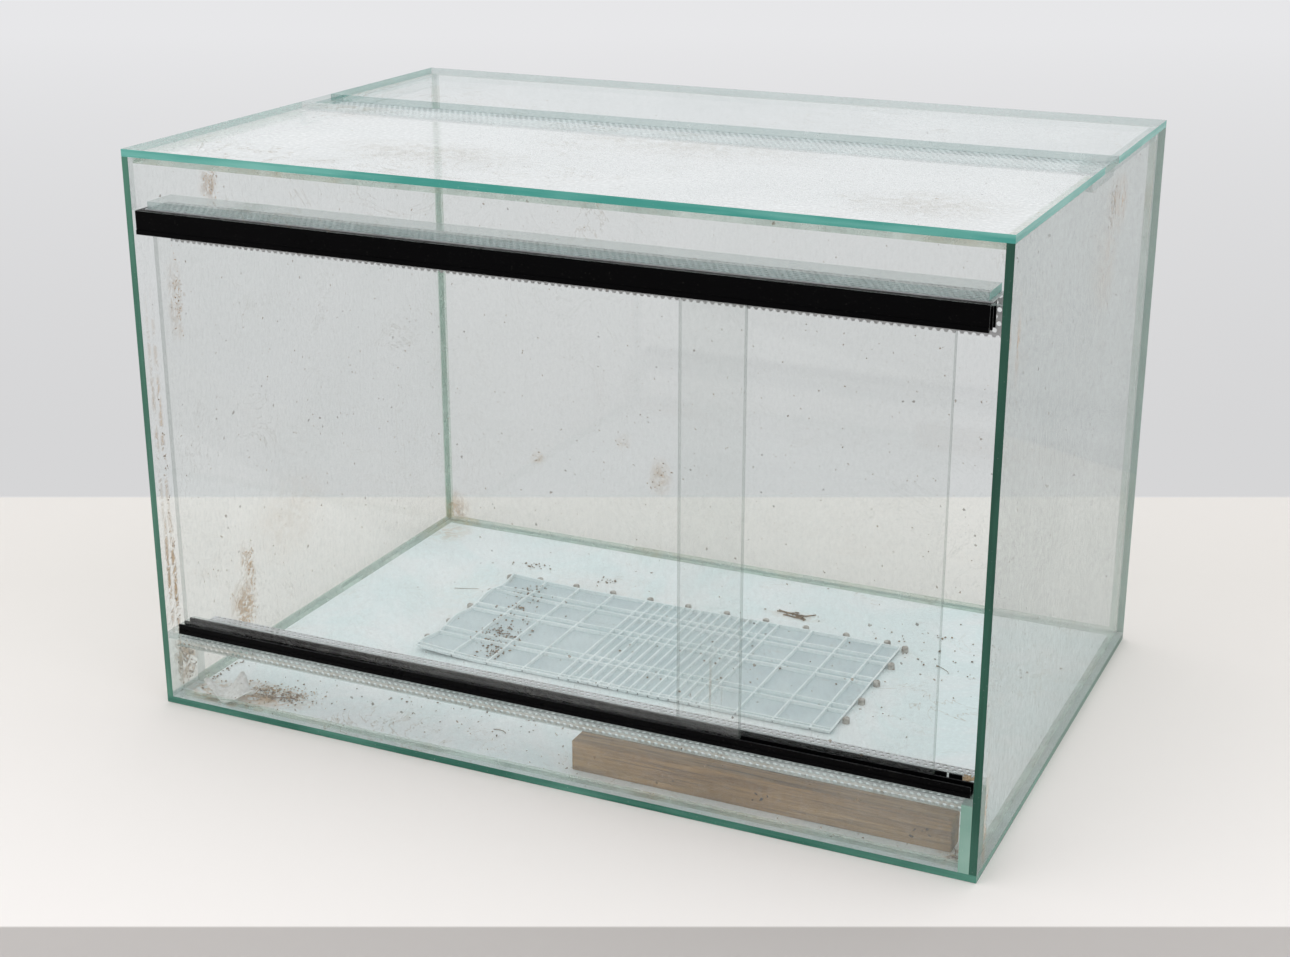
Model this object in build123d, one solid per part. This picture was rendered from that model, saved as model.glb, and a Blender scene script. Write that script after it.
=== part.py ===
from build123d import *
import os

# Glass terrarium with two sliding front doors. Millimetres, +X to the right, +Y to the back,
# +Z up. The origin is the middle of the underside of the base plate.

# Tank
tank_width = 600.0
tank_depth = 400.0
tank_height = 400.0
pane = 5.0  # thickness of every fixed sheet of glass

# Lower front: a low pane, two end posts, and a ledge on the posts
lower_pane_height = 41.0
post_width = 7.0
ledge_depth = 30.0
ledge_underside = 51.0

# Door tracks: three walls and two channels each
track_wall = 1.3
track_channel = 5.0
track_web = 1.5
track_lip_depth = 0.5
track_lip_height = 3.0
lower_track_height = 7.0
upper_track_height = 16.0
lower_track_left_gap = 10.0
lower_track_right_gap = 2.0
upper_track_left_gap = 2.0
upper_track_right_gap = 7.0
rear_wall_cutback = 9.0
rear_wall_notch = 1.5
rear_wall_notch_place = 18.0  # from the right end of the track to the middle of the notch

# Doors
door_glass = 4.0
door_engagement = 7.3  # how far the doors reach up into the upper track
door_edge_chamfer = 0.4
door_overlap = 5.0  # of the two doors when both are closed
door_side_clearance = 0.5  # to the side panel, when closed
door_floor_clearance = 0.3
left_door_width = 424.0
left_door_gap = 13.5  # from the side panel to the left door, as left standing open
right_door_gap = 28.0

# Upper front: a fascia pane and a ledge behind it
fascia_height = 35.5
upper_ledge_depth = 25.0
upper_ledge_end_gap = 9.0

# Perforated sheet, bent to an angle at both ledges
sheet = 0.8
sheet_end_gap = 7.0
hole_pitch = 10.0
hole_radius = 2.6
lower_sheet_depth = 43.0
lower_lip_height = 7.0
upper_lip_drop = 27.0

# Roof: a glued front plate, a ventilation gap, a loose rear lid
front_plate_depth = 211.0
vent_gap = 39.0
vent_sheet_overlap = 5.0
vent_sheet_end_gap = 0.5
tab_depth = 60.0
tab_height = 9.2
tab_thickness = 5.0
filler_left_width = 11.0
filler_right_width = 17.0
cleat_height = 8.0
cleat_thickness = 5.0
cleat_side_clearance = 0.5
cleat_end_clearance = 2.0

# Silicone beads, hollowed like a finger-drawn fillet
bead = 5.0
bead_hollow = 0.36  # where the curve crosses the diagonal, as a share of the bead's leg
bead_clearance = 1.0

# Moulded grid on the floor
grid_left = 124.0  # from the outside of the left panel
grid_front = 141.0  # from the front of the tank
grid_plate = 0.8
grid_height = 3.2
rib = 1.8
left_cell = 30.0
left_cells = 4
fine_cell = 8.0
fine_cells = 14
right_cell = 28.0
right_cells = 3
end_cell = 15.0
row_depths = [4.0, 30.0, 9.0, 42.0, 9.0, 28.0, 10.0, 23.0]

# Pegs round the grid
peg_radius = 2.6
peg_height = 4.4
peg_pitch = 33.0
peg_first = 22.0

# Wooden batten behind the lower front pane
batten_length = 262.0
batten_depth = 16.0
batten_height = 22.0
batten_right_gap = 17.0  # from the right side panel
batten_front_gap = 15.0  # from the lower front pane
batten_chamfer = 0.8

# Planes worked out from the sizes
left = -tank_width / 2
right = tank_width / 2
front = -tank_depth / 2
back = tank_depth / 2
inner_left = left + pane
inner_right = right - pane
inner_front = front + pane
inner_back = back - pane
floor = pane
roof_underside = tank_height - pane
ledge_top = ledge_underside + pane
sheet_left = inner_left + sheet_end_gap
sheet_right = inner_right - sheet_end_gap
lower_pane_top = floor + lower_pane_height
track_front = front + track_lip_depth
track_depth = 3 * track_wall + 2 * track_channel
track_back = track_front + track_depth
lower_track_left = inner_left + lower_track_left_gap
lower_track_right = inner_right - lower_track_right_gap
upper_track_top = roof_underside - fascia_height
upper_track_left = inner_left + upper_track_left_gap
upper_track_right = inner_right - upper_track_right_gap
upper_track_bottom = upper_track_top - upper_track_height
upper_ledge_underside = upper_track_top + sheet
upper_ledge_top = upper_ledge_underside + pane
door_bottom = ledge_top + track_web + door_floor_clearance
door_top = upper_track_bottom + door_engagement
closed_span = inner_right - inner_left - 2 * door_side_clearance
right_door_width = closed_span + door_overlap - left_door_width
front_channel_middle = track_front + track_wall + track_channel / 2
rear_channel_middle = front_channel_middle + track_wall + track_channel
vent_front = front + front_plate_depth
vent_back = vent_front + vent_gap
tab_top = roof_underside - sheet
tab_front = (vent_front + vent_back - tab_depth) / 2
tab_back = tab_front + tab_depth
cleat_front = tab_back + cleat_end_clearance
cleat_back = inner_back - bead_clearance
cleat_bottom = roof_underside - cleat_height


def block(x_span, y_span, z_span):
    """A rectangular solid between three pairs of coordinates."""
    spans = (x_span, y_span, z_span)
    sizes = [high - low for low, high in spans]
    middles = [(low + high) / 2 for low, high in spans]
    return Pos(*middles) * Box(*sizes)


def bead_along(start, end, first_leg):
    """A silicone fillet from start to end, one leg along first_leg, the other at a right angle to it."""
    along = Vector(*end) - Vector(*start)
    plane = Plane(origin=start, x_dir=first_leg, z_dir=along)
    hollow = bead * bead_hollow
    outline = Polyline((bead, 0), (0, 0), (0, bead)) + ThreePointArc((0, bead), (hollow, hollow), (bead, 0))
    return extrude(plane * make_face(outline), along.length)


def holes_in(length, width):
    """Middles of a staggered field of holes that fits in a sheet of this length and width."""
    columns = max(1, int((length - hole_pitch) / hole_pitch))
    rows = max(1, int((width - 2 * hole_radius) / (hole_pitch * 0.87)))
    row_step = width / rows
    middles = []
    for row in range(rows):
        shift = hole_pitch / 4 if row % 2 else -hole_pitch / 4
        for column in range(columns):
            x = (column - (columns - 1) / 2) * hole_pitch + shift
            middles.append((x, (row + 0.5) * row_step - width / 2))
    return middles


def perforated(plane, length, width):
    """A perforated sheet centred on a plane and standing on it, one sheet thick."""
    hole = RegularPolygon(hole_radius, 6).wire()
    holes = [Pos(*middle) * hole for middle in holes_in(length, width)]
    return extrude(plane * Face(Rectangle(length, width).wire(), holes), sheet)


def flat_perforated(x_span, y_span, z_bottom):
    """A level perforated sheet."""
    middle = ((x_span[0] + x_span[1]) / 2, (y_span[0] + y_span[1]) / 2, z_bottom)
    plane = Plane(origin=middle, x_dir=(1, 0, 0), z_dir=(0, 0, 1))
    return perforated(plane, x_span[1] - x_span[0], y_span[1] - y_span[0])


def upright_perforated(x_span, y_back, z_span):
    """An upright perforated sheet that faces the front, its rear face at y_back."""
    middle = ((x_span[0] + x_span[1]) / 2, y_back, (z_span[0] + z_span[1]) / 2)
    plane = Plane(origin=middle, x_dir=(1, 0, 0), z_dir=(0, -1, 0))
    return perforated(plane, x_span[1] - x_span[0], z_span[1] - z_span[0])


def track(x_span, z_web, z_open):
    """A two-channel track: a web at z_web and three walls that reach to z_open."""
    upward = 1 if z_open > z_web else -1
    web_end = z_web + upward * track_web
    solid = block(x_span, (track_front, track_back), sorted((z_web, web_end)))
    for number in range(3):
        wall_front = track_front + number * (track_wall + track_channel)
        solid += block(x_span, (wall_front, wall_front + track_wall), sorted((z_web, z_open)))
    z_low = min(z_web, z_open)
    solid += block(x_span, (front, track_front + track_wall), (z_low, z_low + track_lip_height))
    return solid


def lower_door_track():
    top = ledge_top + lower_track_height
    solid = track((lower_track_left, lower_track_right), ledge_top, top)
    rear_wall = (track_back - track_wall, track_back)
    above_web = (ledge_top + track_web, top)
    solid -= block((lower_track_right - rear_wall_cutback, lower_track_right), rear_wall, above_web)
    notch_middle = lower_track_right - rear_wall_notch_place
    notch = (notch_middle - rear_wall_notch / 2, notch_middle + rear_wall_notch / 2)
    solid -= block(notch, rear_wall, above_web)
    return solid


def lower_vent_strip():
    back_edge = inner_front + lower_sheet_depth
    span = (sheet_left, sheet_right)
    leg = flat_perforated(span, (inner_front, back_edge), ledge_underside - sheet)
    lip_z = (ledge_underside - lower_lip_height, ledge_underside)
    lip = upright_perforated(span, inner_front + sheet, lip_z)
    return leg + lip


def upper_vent_strip():
    back_edge = inner_front + upper_ledge_depth
    span = (sheet_left, sheet_right)
    leg = flat_perforated(span, (inner_front, back_edge), upper_track_top)
    lip = upright_perforated(span, back_edge, (upper_track_top - upper_lip_drop, upper_track_top + sheet))
    return leg + lip


def door(x_left, width, channel_middle):
    y_span = (channel_middle - door_glass / 2, channel_middle + door_glass / 2)
    solid = block((x_left, x_left + width), y_span, (door_bottom, door_top))
    return chamfer(solid.edges(), door_edge_chamfer)


def silicone_floor_rim():
    """One bead round the floor: left, back and right, behind the two posts."""
    post_back = front + ledge_depth
    back_left = (inner_left, inner_back, floor)
    back_right = (inner_right, inner_back, floor)
    left_leg = bead_along(back_left, (inner_left, post_back, floor), (1, 0, 0))
    back_leg = bead_along(back_right, back_left, (0, -1, 0))
    right_leg = bead_along((inner_right, post_back, floor), back_right, (-1, 0, 0))
    return left_leg + back_leg + right_leg


def silicone_floor_front():
    start = (sheet_left, inner_front, floor)
    end = (sheet_right, inner_front, floor)
    return bead_along(start, end, (0, 1, 0))


def silicone_roof_front():
    """One bead under the front roof plate: along the left panel, the fascia and the right panel."""
    front_left = (inner_left, inner_front, roof_underside)
    front_right = (inner_right, inner_front, roof_underside)
    left_leg = bead_along(front_left, (inner_left, tab_front, roof_underside), (1, 0, 0))
    right_leg = bead_along((inner_right, tab_front, roof_underside), front_right, (-1, 0, 0))
    front_leg = bead_along(front_right, front_left, (0, 1, 0))
    return left_leg + right_leg + front_leg


def silicone_upright(x, first_leg):
    """A bead in a rear upright corner, from above the floor bead to below the lid's cleats."""
    low = floor + bead
    high = cleat_bottom - bead_clearance
    return bead_along((x, inner_back, low), (x, inner_back, high), first_leg)


def grid_columns():
    """Distances of the grid's front-to-back ribs from its left edge."""
    cells = [left_cell] * left_cells + [fine_cell] * fine_cells + [right_cell] * right_cells + [end_cell]
    places = [0.0]
    for cell in cells:
        places.append(places[-1] + cell)
    return places


def grid_rows():
    """Distances of the grid's cross ribs from its front edge."""
    places = [0.0]
    for row in row_depths:
        places.append(places[-1] + row)
    return places


def floor_grid():
    """A thin plate with ribs on it, lying on the floor."""
    columns = [left + grid_left + place for place in grid_columns()]
    rows = [front + grid_front + place for place in grid_rows()]
    x_span = (columns[0] - rib / 2, columns[-1] + rib / 2)
    y_span = (rows[0] - rib / 2, rows[-1] + rib / 2)
    outline = Pos(sum(x_span) / 2, sum(y_span) / 2) * Rectangle(x_span[1] - x_span[0], y_span[1] - y_span[0])
    cells = []
    for x_low, x_high in zip(columns, columns[1:]):
        for y_low, y_high in zip(rows, rows[1:]):
            cell = Rectangle(x_high - x_low - rib, y_high - y_low - rib).wire()
            cells.append(Pos((x_low + x_high) / 2, (y_low + y_high) / 2) * cell)
    ribs = extrude(Pos(0, 0, floor + grid_plate) * Face(outline.wire(), cells), grid_height - grid_plate)
    return ribs + block(x_span, y_span, (floor, floor + grid_plate))


def grid_pegs():
    """Small pegs that stand against the rear edge and both sides of the grid."""
    grid_width = grid_columns()[-1]
    grid_depth = grid_rows()[-1]
    beside = rib / 2 + peg_radius
    x_low = left + grid_left
    y_low = front + grid_front
    places = []
    for number in range(int((grid_width - peg_first) / peg_pitch) + 1):
        places.append((x_low + peg_first + number * peg_pitch, y_low + grid_depth + beside))
    for number in range(int((grid_depth - peg_first) / peg_pitch) + 1):
        y = y_low + peg_first + number * peg_pitch
        places.append((x_low - beside, y))
        places.append((x_low + grid_width + beside, y))
    shaft = Pos(0, 0, floor + peg_height / 2) * Cylinder(peg_radius, peg_height)
    peg = fillet(shaft.edges().group_by(Axis.Z)[-1], peg_radius * 0.5)
    return Compound([Pos(x, y) * peg for x, y in places])


def wooden_batten():
    x_right = inner_right - batten_right_gap
    y_front = inner_front + batten_front_gap
    y_span = (y_front, y_front + batten_depth)
    solid = block((x_right - batten_length, x_right), y_span, (floor, floor + batten_height))
    return chamfer(solid.edges(), batten_chamfer)


side_y = (front, back)
side_z = (floor, roof_underside)
post_y = (front, front + ledge_depth)
post_z = (floor, ledge_underside)
tab_y = (tab_front, tab_back)
tab_z = (tab_top - tab_height, tab_top)
cleat_y = (cleat_front, cleat_back)
cleat_z = (cleat_bottom, roof_underside)
roof_z = (roof_underside, tank_height)
inner_x = (inner_left, inner_right)
cleat_left_x = (inner_left + cleat_side_clearance, inner_left + cleat_side_clearance + cleat_thickness)
cleat_right_x = (inner_right - cleat_side_clearance - cleat_thickness, inner_right - cleat_side_clearance)
vent_sheet_x = (inner_left + vent_sheet_end_gap, inner_right - vent_sheet_end_gap)
vent_sheet_y = (vent_front - vent_sheet_overlap, vent_back + vent_sheet_overlap)
ledge_x = (inner_left + upper_ledge_end_gap, inner_right - upper_ledge_end_gap)
ledge_y = (inner_front, inner_front + upper_ledge_depth)
left_door_x = inner_left + left_door_gap
right_door_x = inner_right - right_door_gap - right_door_width

nodes = {
    "base_plate": block((left, right), (front, back), (0, floor)),
    "left_side_panel": block((left, inner_left), side_y, side_z),
    "right_side_panel": block((inner_right, right), side_y, side_z),
    "back_panel": block(inner_x, (inner_back, back), side_z),
    "lower_front_pane": block((sheet_left, sheet_right), (front, inner_front), (floor, lower_pane_top)),
    "ledge_post_left": block((inner_left, inner_left + post_width), post_y, post_z),
    "ledge_post_right": block((inner_right - post_width, inner_right), post_y, post_z),
    "lower_ledge": block(inner_x, (front, front + ledge_depth), (ledge_underside, ledge_top)),
    "lower_vent_strip": lower_vent_strip(),
    "lower_door_track": lower_door_track(),
    "upper_fascia_pane": block(inner_x, (front, inner_front), (upper_track_top, roof_underside)),
    "upper_ledge": block(ledge_x, ledge_y, (upper_ledge_underside, upper_ledge_top)),
    "upper_vent_strip": upper_vent_strip(),
    "upper_door_track": track((upper_track_left, upper_track_right), upper_track_top, upper_track_bottom),
    "left_door": door(left_door_x, left_door_width, front_channel_middle),
    "right_door": door(right_door_x, right_door_width, rear_channel_middle),
    "roof_front_plate": block((left, right), (front, vent_front), roof_z),
    "roof_vent_strip": flat_perforated(vent_sheet_x, vent_sheet_y, tab_top),
    "roof_filler_left": block((left, left + filler_left_width), (vent_front, vent_back), roof_z),
    "roof_filler_right": block((right - filler_right_width, right), (vent_front, vent_back), roof_z),
    "strip_tab_left": block((inner_left, inner_left + tab_thickness), tab_y, tab_z),
    "strip_tab_right": block((inner_right - tab_thickness, inner_right), tab_y, tab_z),
    "roof_lid": block((left, right), (vent_back, back), roof_z),
    "lid_cleat_left": block(cleat_left_x, cleat_y, cleat_z),
    "lid_cleat_right": block(cleat_right_x, cleat_y, cleat_z),
    "silicone_floor_rim": silicone_floor_rim(),
    "silicone_floor_front": silicone_floor_front(),
    "silicone_back_left": silicone_upright(inner_left, (0, -1, 0)),
    "silicone_back_right": silicone_upright(inner_right, (-1, 0, 0)),
    "silicone_roof_front": silicone_roof_front(),
    "floor_grid": floor_grid(),
    "grid_pegs": grid_pegs(),
    "wooden_batten": wooden_batten(),
}

os.makedirs("parts", exist_ok=True)
for name, shape in nodes.items():
    export_step(shape, f"parts/{name}.step")
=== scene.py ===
import math
import random

import bmesh
import bpy
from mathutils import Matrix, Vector, noise


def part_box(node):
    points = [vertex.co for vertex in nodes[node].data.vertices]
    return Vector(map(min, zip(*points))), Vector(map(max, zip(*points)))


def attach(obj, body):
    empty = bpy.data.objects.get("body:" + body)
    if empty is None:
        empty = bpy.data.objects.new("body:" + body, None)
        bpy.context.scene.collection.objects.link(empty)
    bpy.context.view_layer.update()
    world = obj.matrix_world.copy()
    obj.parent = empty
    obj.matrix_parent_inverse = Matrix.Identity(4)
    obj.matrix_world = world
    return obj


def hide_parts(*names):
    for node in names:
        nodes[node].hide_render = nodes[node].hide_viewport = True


# The frame: every pane, track, door, sheet and bead of the tank, in metres.
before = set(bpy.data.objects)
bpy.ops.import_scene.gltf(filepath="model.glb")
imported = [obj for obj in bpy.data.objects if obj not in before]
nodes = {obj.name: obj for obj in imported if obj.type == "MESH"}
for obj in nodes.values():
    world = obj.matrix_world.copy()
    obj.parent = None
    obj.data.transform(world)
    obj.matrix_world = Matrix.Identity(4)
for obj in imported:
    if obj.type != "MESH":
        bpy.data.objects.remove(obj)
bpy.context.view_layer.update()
MM = 0.001


# Sizes read from the frame

boxes = {name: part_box(name) for name in nodes}
floor_z = boxes["base_plate"][1].z
inner_left = boxes["left_side_panel"][1].x
inner_right = boxes["right_side_panel"][0].x
inner_back = boxes["back_panel"][0].y
inner_front = boxes["lower_front_pane"][1].y


# Meshes

def mesh_object(name, vertices, faces, smooth=False):
    """A new object with this mesh, linked to the scene."""
    mesh = bpy.data.meshes.new(name)
    mesh.from_pydata([tuple(v) for v in vertices], [], faces)
    mesh.validate()
    mesh.update()
    if smooth:
        mesh.polygons.foreach_set("use_smooth", [True] * len(mesh.polygons))
    piece = bpy.data.objects.new(name, mesh)
    bpy.context.scene.collection.objects.link(piece)
    return piece


def apply_modifiers(piece):
    """Turn the piece's modifiers into its mesh."""
    bpy.context.view_layer.update()
    graph = bpy.context.evaluated_depsgraph_get()
    mesh = bpy.data.meshes.new_from_object(piece.evaluated_get(graph))
    piece.modifiers.clear()
    piece.data = mesh
    return piece


def thicken(piece, thickness):
    """Give a sheet its thickness, evenly to both sides."""
    solid = piece.modifiers.new("thickness", "SOLIDIFY")
    solid.thickness = thickness
    solid.offset = 0
    solid.use_even_offset = True
    return apply_modifiers(piece)


# Material nodes

GLOSS_HEAD_ON = 0.04  # how much of the room a clean pane mirrors, met head on
GLOSS_GRAZING = 0.55  # and met at a glance


class Shader:
    """A material's node tree, with short calls for the nodes used here."""

    def __init__(self, name):
        self.material = bpy.data.materials.new(name)
        self.material.use_nodes = True
        self.tree = self.material.node_tree
        self.tree.nodes.clear()
        self.output = self.tree.nodes.new("ShaderNodeOutputMaterial")

    def node(self, kind, **settings):
        made = self.tree.nodes.new(kind)
        for key, value in settings.items():
            setattr(made, key, value)
        return made

    def feed(self, socket, value):
        """Link a socket to an input, or set the input to a plain value."""
        if isinstance(value, bpy.types.NodeSocket):
            self.tree.links.new(value, socket)
        elif hasattr(value, "__len__") and len(value) == 3 and socket.type == "RGBA":
            socket.default_value = (*value, 1)
        else:
            socket.default_value = value

    def place(self, stretch=(1, 1, 1), shift=(0, 0, 0)):
        """The piece's own coordinates in metres, scaled by stretch and then shifted."""
        coords = self.node("ShaderNodeTexCoord").outputs["Object"]
        mapping = self.node("ShaderNodeMapping")
        self.feed(mapping.inputs["Vector"], coords)
        mapping.inputs["Scale"].default_value = stretch
        mapping.inputs["Location"].default_value = shift
        return mapping.outputs["Vector"]

    def noise(self, scale, detail=4, rough=0.55, stretch=(1, 1, 1), shift=(0, 0, 0), distortion=0):
        made = self.node("ShaderNodeTexNoise")
        self.feed(made.inputs["Vector"], self.place(stretch, shift))
        made.inputs["Scale"].default_value = scale
        made.inputs["Detail"].default_value = detail
        made.inputs["Roughness"].default_value = rough
        made.inputs["Distortion"].default_value = distortion
        return made.outputs["Fac"]

    def cells(self, scale, shift=(0, 0, 0)):
        """Distance to the nearest random point, and that point's random colour."""
        made = self.node("ShaderNodeTexVoronoi")
        self.feed(made.inputs["Vector"], self.place(shift=shift))
        made.inputs["Scale"].default_value = scale
        return made.outputs["Distance"], made.outputs["Color"]

    def spread(self, value, low, high, start=0.0, end=1.0):
        """Map low..high to start..end, held at both ends."""
        made = self.node("ShaderNodeMapRange", clamp=True)
        self.feed(made.inputs["Value"], value)
        for socket, number in zip(("From Min", "From Max", "To Min", "To Max"), (low, high, start, end)):
            made.inputs[socket].default_value = number
        return made.outputs["Result"]

    def math(self, operation, first, second=0.5):
        made = self.node("ShaderNodeMath", operation=operation)
        self.feed(made.inputs[0], first)
        self.feed(made.inputs[1], second)
        return made.outputs["Value"]

    def times(self, first, second):
        return self.math("MULTIPLY", first, second)

    def most(self, first, second):
        return self.math("MAXIMUM", first, second)

    def colour(self, share, first, second):
        """A colour between first and second."""
        made = self.node("ShaderNodeMix", data_type="RGBA")
        self.feed(made.inputs["Factor"], share)
        self.feed(made.inputs["A"], first)
        self.feed(made.inputs["B"], second)
        return made.outputs["Result"]

    def axis(self, name):
        """One of the piece's own coordinates, in metres."""
        split = self.node("ShaderNodeSeparateXYZ")
        self.feed(split.inputs["Vector"], self.node("ShaderNodeTexCoord").outputs["Object"])
        return split.outputs[name]

    def bump(self, height, distance, strength=1.0):
        made = self.node("ShaderNodeBump")
        self.feed(made.inputs["Height"], height)
        made.inputs["Distance"].default_value = distance
        made.inputs["Strength"].default_value = strength
        return made.outputs["Normal"]

    def principled(self, colour, roughness, **others):
        made = self.node("ShaderNodeBsdfPrincipled")
        self.feed(made.inputs["Base Color"], colour)
        self.feed(made.inputs["Roughness"], roughness)
        for name, value in others.items():
            self.feed(made.inputs[name.replace("_", " ")], value)
        return made.outputs["BSDF"]

    def clear(self, colour):
        made = self.node("ShaderNodeBsdfTransparent")
        self.feed(made.inputs["Color"], colour)
        return made.outputs["BSDF"]

    def blend(self, share, first, second):
        """A shader between first and second."""
        made = self.node("ShaderNodeMixShader")
        self.feed(made.inputs[0], share)
        self.tree.links.new(first, made.inputs[1])
        self.tree.links.new(second, made.inputs[2])
        return made.outputs["Shader"]

    def gloss_share(self):
        """How much a smooth pane mirrors, by the angle at which it is met."""
        facing = self.node("ShaderNodeLayerWeight").outputs["Facing"]
        steep = self.math("POWER", facing, 5.0)
        return self.spread(steep, 0, 1, GLOSS_HEAD_ON, GLOSS_GRAZING)

    def blot(self, centre, reach):
        """A ragged mark round a point of the part, both in mm: 1 inside, 0 outside."""
        shift = [-c / r for c, r in zip(centre, reach)]
        stretch = [1 / (r * MM) for r in reach]
        length = self.node("ShaderNodeVectorMath", operation="LENGTH")
        self.feed(length.inputs[0], self.place(stretch, shift))
        near = self.spread(length.outputs["Value"], 0.25, 1.0, 1, 0)
        ragged = self.spread(self.noise(75, 6, 0.72, shift=(reach[1], 0, 0), distortion=1.6), 0.44, 0.55)
        return self.times(near, ragged)

    def done(self, shader):
        self.tree.links.new(shader, self.output.inputs["Surface"])
        return self.material


DARK_SPECK = (0.10, 0.07, 0.045)
LIGHT_SPECK = (0.33, 0.26, 0.18)
STALE_DUST = (0.47, 0.40, 0.30)
PALEST = 0.97


def pane_material(name, tint, haze=0.05, film=0.0, specks=0.5, streaks=0.3, shift=(0, 0, 0),
                  film_colour=(0.72, 0.75, 0.735), blots=(), blot_colour=(0.60, 0.41, 0.24), scuff=0.3):
    """Clear glass with a dusty film, drip streaks, thin scuffs, stuck specks of soil and stains at the
    blots, each a centre, a reach and a strength."""
    s = Shader(name)
    soft = s.spread(s.noise(5.5, 6, 0.62, shift=shift, distortion=0.6), 0.42, 0.78, 0, haze)
    fine = s.spread(s.noise(330, 4, 0.75, stretch=(1, 1, 0.5), shift=shift), 0.47, 0.68, 0, haze * 1.1)
    drip = s.noise(26, 5, 0.6, stretch=(2.6, 2.6, 0.22), shift=shift, distortion=0.9)
    where = s.spread(s.noise(4, 2, shift=(shift[0] + 3, shift[1], shift[2])), 0.5, 0.66)
    drips = s.times(s.spread(drip, 0.66, 0.74, 0, streaks), where)
    wander = s.noise(13, 5, 0.62, shift=(shift[0], shift[1] + 9, shift[2]), distortion=1.5)
    line = s.spread(s.math("ABSOLUTE", s.math("SUBTRACT", wander, 0.5)), 0.0015, 0.008, 1, 0)
    scuffed = s.spread(s.noise(7, 4, 0.6, shift=(shift[0], shift[1], shift[2] + 7)), 0.50, 0.62)
    scuffs = s.times(s.times(line, scuffed), scuff)
    distance, random_colour = s.cells(95, shift)
    chosen = s.node("ShaderNodeSeparateColor")
    s.feed(chosen.inputs["Color"], random_colour)
    size = s.spread(chosen.outputs["Green"], 0, 1, 0.03, 0.11)
    rim = s.spread(s.noise(520, 3, 0.7, shift=shift), 0.3, 0.7, -0.07, 0.07)
    dot = s.math("LESS_THAN", s.math("ADD", distance, rim), size)
    crowd = s.spread(s.noise(7, 3, shift=(shift[0], shift[1] + 5, shift[2])), 0.44, 0.62, 0.02, 0.5 * specks)
    dots = s.times(dot, s.math("LESS_THAN", chosen.outputs["Red"], crowd))
    dust = s.math("ADD", s.math("ADD", soft, fine), film)
    cover = s.most(s.most(dust, s.most(drips, scuffs)), s.times(dots, 0.62))
    lighter = [min(PALEST, part + 0.07) for part in film_colour]
    veins = s.spread(s.noise(8, 6, 0.62, shift=shift, distortion=1.8), 0.42, 0.60)
    dust_colour = s.colour(veins, film_colour, lighter)
    brown = s.colour(chosen.outputs["Blue"], DARK_SPECK, LIGHT_SPECK)
    stale = s.colour(s.spread(s.most(drips, scuffs), 0, 0.2), dust_colour, STALE_DUST)
    dirt_colour = s.colour(dots, stale, brown)
    for centre, reach, strength in blots:
        mark = s.times(s.blot(centre, reach), strength)
        cover = s.most(s.most(cover, mark), 0.001)
        dirt_colour = s.colour(s.math("DIVIDE", mark, cover), dirt_colour, blot_colour)
    dirt = s.principled(dirt_colour, 0.7)
    gloss = s.node("ShaderNodeBsdfGlossy")
    gloss.inputs["Roughness"].default_value = 0.02
    glass = s.blend(s.gloss_share(), s.clear(tint), gloss.outputs["BSDF"])
    return s.done(s.blend(cover, glass, dirt))


def edge_material(name, deep, pale, rough=0.22, along=(1, 1, 1), cover=1.0):
    """A cut edge of green glass: deep and pale streaks that run along it, with small chips. A cover
    under 1 lets what lies behind show through."""
    s = Shader(name)
    streak = s.noise(240, 3, 0.6, stretch=along)
    slow = s.noise(9, 3, 0.5)
    share = s.math("ADD", s.spread(streak, 0.35, 0.7, 0, 0.55), s.spread(slow, 0.35, 0.65, -0.25, 0.35))
    colour = s.colour(s.spread(share, 0, 1, 0, 0.7), deep, pale)
    chips = s.spread(s.noise(900, 2, 0.5), 0.70, 0.74)
    colour = s.colour(s.times(chips, 0.5), colour, (0.75, 0.86, 0.82))
    bumps = s.bump(s.noise(700, 3), 0.0002, 0.25)
    body = s.principled(colour, rough, Normal=bumps, Specular_IOR_Level=0.4)
    if cover == 1.0:
        return s.done(body)
    return s.done(s.blend(cover, s.clear((0.97, 0.985, 0.98)), body))


CLEAR_TINT = (0.975, 0.986, 0.983)

# Stains on the panes: a centre and a reach in mm, and a strength.
RIGHT_BLOTS = (((295, 68, 366), (20, 24, 24), 0.45), ((295, -187, 40), (20, 6, 60), 0.5),
               ((295, -181, 335), (20, 6, 34), 0.45), ((295, 40, 330), (20, 30, 40), 0.2))
LEFT_BLOTS = (((-295, -106, 38), (20, 15, 24), 0.85), ((-295, -98, 66), (20, 7, 26), 0.8),
              ((-295, -113, 361), (20, 9, 18), 0.5), ((-295, -159, 289), (20, 6, 36), 0.45),
              ((-295, -187, 95), (20, 3.2, 62), 0.95), ((-295, -188, 200), (20, 3, 120), 0.5),
              ((-295, -180, 26), (20, 15, 24), 0.8), ((-295, -40, 90), (20, 60, 40), 0.12))
BACK_BLOTS = (((-91, 195, 74), (12, 20, 20), 0.3), ((-206, 195, 75), (8, 20, 8), 0.25),
              ((-124, 195, 101), (8, 20, 8), 0.25), ((-290, 195, 14), (18, 20, 22), 0.5))
ROOF_BLOTS = (((-116, -120, 400), (90, 34, 20), 0.22), ((39, -35, 400), (110, 24, 20), 0.2),
              ((235, -140, 400), (60, 40, 20), 0.2), ((-250, 0, 400), (50, 16, 20), 0.35))
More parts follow.
